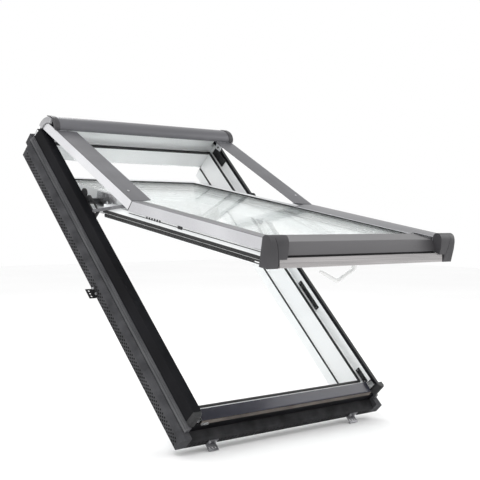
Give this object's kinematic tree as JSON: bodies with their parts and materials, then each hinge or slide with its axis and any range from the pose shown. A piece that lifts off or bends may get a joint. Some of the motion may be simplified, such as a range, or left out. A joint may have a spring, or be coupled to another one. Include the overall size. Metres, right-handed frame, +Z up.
{
  "type": "roof window",
  "caption": "High-pivot roof window: a white frame in a foam collar, a glazed sash on side pivots, and a hinged hood with two arms that lift as the sash opens.",
  "frame": {"origin": "middle of the sill's flat back face", "axes": "X across the window, +Y into the house along the level, +Z up; the frame lies in a roof of 45 degrees, rising towards +Y, with the sash open"},
  "size_m": [0.84, 1.1456, 0.9292],
  "materials": {
    "white_pvc": "satin",
    "black_cladding": "satin",
    "flange_plastic": "matte",
    "foam": "matte",
    "rubber": "matte",
    "black_casting": "painted matte",
    "steel": "zinc plated",
    "black_plastic": "matte",
    "clear_plastic": "clear",
    "grey_cladding": "satin",
    "silver_cladding": "painted satin",
    "grey_plastic": "matte",
    "glass": "clear",
    "spacer": "matte",
    "white_handle": "gloss"
  },
  "bodies": {
    "frame": {"frame_stile_left": "white_pvc", "frame_stile_right": "white_pvc", "frame_head": "white_pvc", "frame_sill": "white_pvc", "side_cladding_left": "black_cladding", "side_cladding_right": "black_cladding", "sill_cladding": "black_cladding", "head_flashing": "black_cladding", "flange_left": "flange_plastic", "flange_right": "flange_plastic", "insulation_left": "foam", "insulation_right": "foam", "insulation_head": "foam", "insulation_sill": "foam", "rebate_gasket": "rubber", "lining_gasket": "rubber", "hinge_base_left": "black_casting", "hinge_base_right": "black_casting", "lock_strikes": "black_casting", "strike_screws": "steel", "sill_corners": "black_plastic", "sill_drip_strip": "flange_plastic", "sill_clip": "clear_plastic", "mounting_brackets": "steel", "bracket_screws": "steel", "hood_rear": "grey_cladding", "hood_rear_caps": "flange_plastic", "cover_hinges": "black_casting"},
    "cover": {"hood_front": "grey_cladding", "hood_cap_left": "grey_plastic", "hood_cap_right": "grey_plastic", "arm_left": "silver_cladding", "arm_right": "silver_cladding", "arm_cover_left": "grey_cladding", "arm_cover_right": "grey_cladding", "arm_screws": "steel", "arm_end_seals": "rubber"},
    "link_left": {"link_bar_left": "steel"},
    "link_right": {"link_bar_right": "steel"},
    "sash": {"sash_stile_left": "white_pvc", "sash_stile_right": "white_pvc", "sash_top_rail": "white_pvc", "sash_bottom_rail": "white_pvc", "sash_side_profiles": "white_pvc", "glass_outer": "glass", "glass_inner": "glass", "glass_spacer": "spacer", "glazing_gasket": "rubber", "sash_cladding_left": "silver_cladding", "sash_cladding_right": "silver_cladding", "sash_front_cladding": "grey_cladding", "sash_front_carrier": "black_plastic", "sash_front_strip": "silver_cladding", "sash_end_cap_left": "grey_plastic", "sash_end_cap_right": "grey_plastic", "sash_seals": "rubber", "sash_hinge_plates": "steel", "lock_rods": "black_casting", "handle_base": "white_handle"},
    "handle": {"handle_lever": "white_handle"}
  },
  "joints": [
    {"name": "sash_pivot", "type": "hinge", "parent": "frame", "child": "sash", "pos_m": [0, 0.4377, 0.6173], "axis": [1, 0, 0], "range_deg": [0, 35.7]},
    {"name": "cover_hinge", "type": "hinge", "parent": "frame", "child": "cover", "pos_m": [0, 0.6364, 0.82024], "axis": [1, 0, 0], "range_deg": [0, 16.4]},
    {"name": "link_head_left", "type": "hinge", "parent": "cover", "child": "link_left", "pos_m": [-0.351, 0.21177, 0.60468], "axis": [1, 0, 0], "range_deg": [0, 31.87]},
    {"name": "link_head_right", "type": "hinge", "parent": "cover", "child": "link_right", "pos_m": [0.351, 0.21177, 0.60468], "axis": [1, 0, 0], "range_deg": [0, 31.87]},
    {"name": "handle_turn", "type": "hinge", "parent": "sash", "child": "handle", "pos_m": [0.092, -0.23912, 0.44973], "axis": [0, -0.1616, 0.9869], "range_deg": [-90, 0]}
  ],
  "couplings": [
    {"joint": "cover_hinge", "follows": "sash_pivot", "ratio": 0.4593},
    {"joint": "link_head_left", "follows": "sash_pivot", "ratio": 0.8927},
    {"joint": "link_head_right", "follows": "sash_pivot", "ratio": 0.8927}
  ]
}
